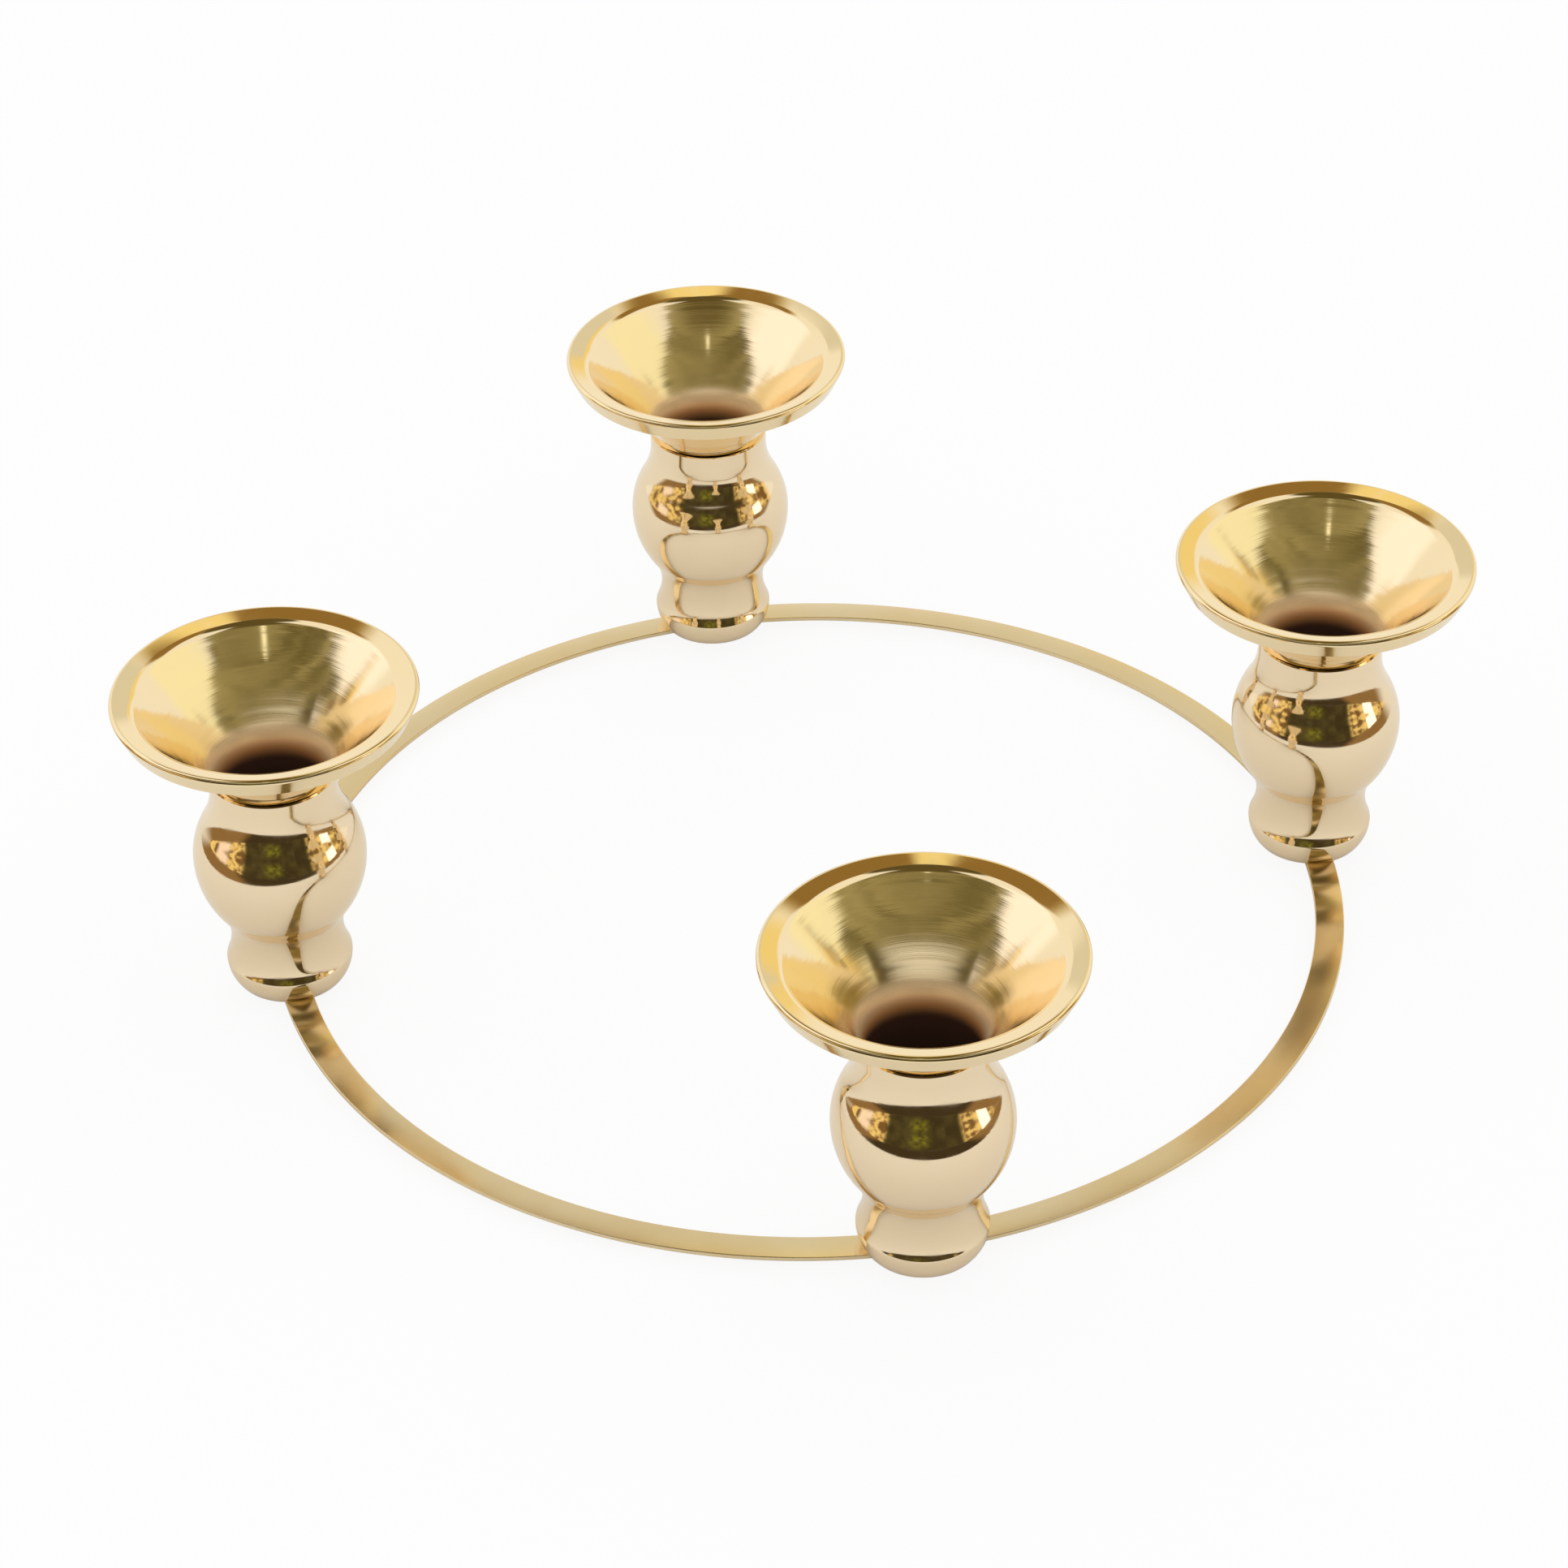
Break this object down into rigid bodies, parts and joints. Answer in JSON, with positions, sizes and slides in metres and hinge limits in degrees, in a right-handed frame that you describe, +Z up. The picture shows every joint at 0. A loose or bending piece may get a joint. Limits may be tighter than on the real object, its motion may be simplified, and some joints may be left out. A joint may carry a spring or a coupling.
{
  "type": "advent candle holder",
  "caption": "Level brass ring with spun candle cups standing round it, each a round foot, ball and flared drip pan with a candle socket, held by a screw from below.",
  "frame": {"origin": "middle of the ring, on the table under the screw heads", "axes": "+Z up, square to the ring; the front cup stands at -Y and the right cup at +X"},
  "size_m": [0.282, 0.282, 0.0734],
  "materials": {
    "band_brass": "polished flat strip",
    "cup_brass": "mirror polished, pale gold",
    "pan_brass": "polished outside, fine turned lines inside",
    "screw_brass": "plain turned"
  },
  "bodies": {
    "ring": {"ring_band": "band_brass"},
    "cup_front": {"foot_front": "cup_brass", "ball_front": "cup_brass", "drip_cup_front": "pan_brass", "fixing_screw_front": "screw_brass", "socket_nut_front": "screw_brass"},
    "cup_right": {"foot_right": "cup_brass", "ball_right": "cup_brass", "drip_cup_right": "pan_brass", "fixing_screw_right": "screw_brass", "socket_nut_right": "screw_brass"},
    "cup_back": {"foot_back": "cup_brass", "ball_back": "cup_brass", "drip_cup_back": "pan_brass", "fixing_screw_back": "screw_brass", "socket_nut_back": "screw_brass"},
    "cup_left": {"foot_left": "cup_brass", "ball_left": "cup_brass", "drip_cup_left": "pan_brass", "fixing_screw_left": "screw_brass", "socket_nut_left": "screw_brass"}
  },
  "joints": [
    {"name": "front_cup_turn", "type": "hinge", "parent": "ring", "child": "cup_front", "pos_m": [0, -0.11, 0.003], "axis": [0, 0, 1], "continuous": true},
    {"name": "right_cup_turn", "type": "hinge", "parent": "ring", "child": "cup_right", "pos_m": [0.11, 0, 0.003], "axis": [0, 0, 1], "continuous": true},
    {"name": "back_cup_turn", "type": "hinge", "parent": "ring", "child": "cup_back", "pos_m": [0, 0.11, 0.003], "axis": [0, 0, 1], "continuous": true},
    {"name": "left_cup_turn", "type": "hinge", "parent": "ring", "child": "cup_left", "pos_m": [-0.11, 0, 0.003], "axis": [0, 0, 1], "continuous": true}
  ]
}
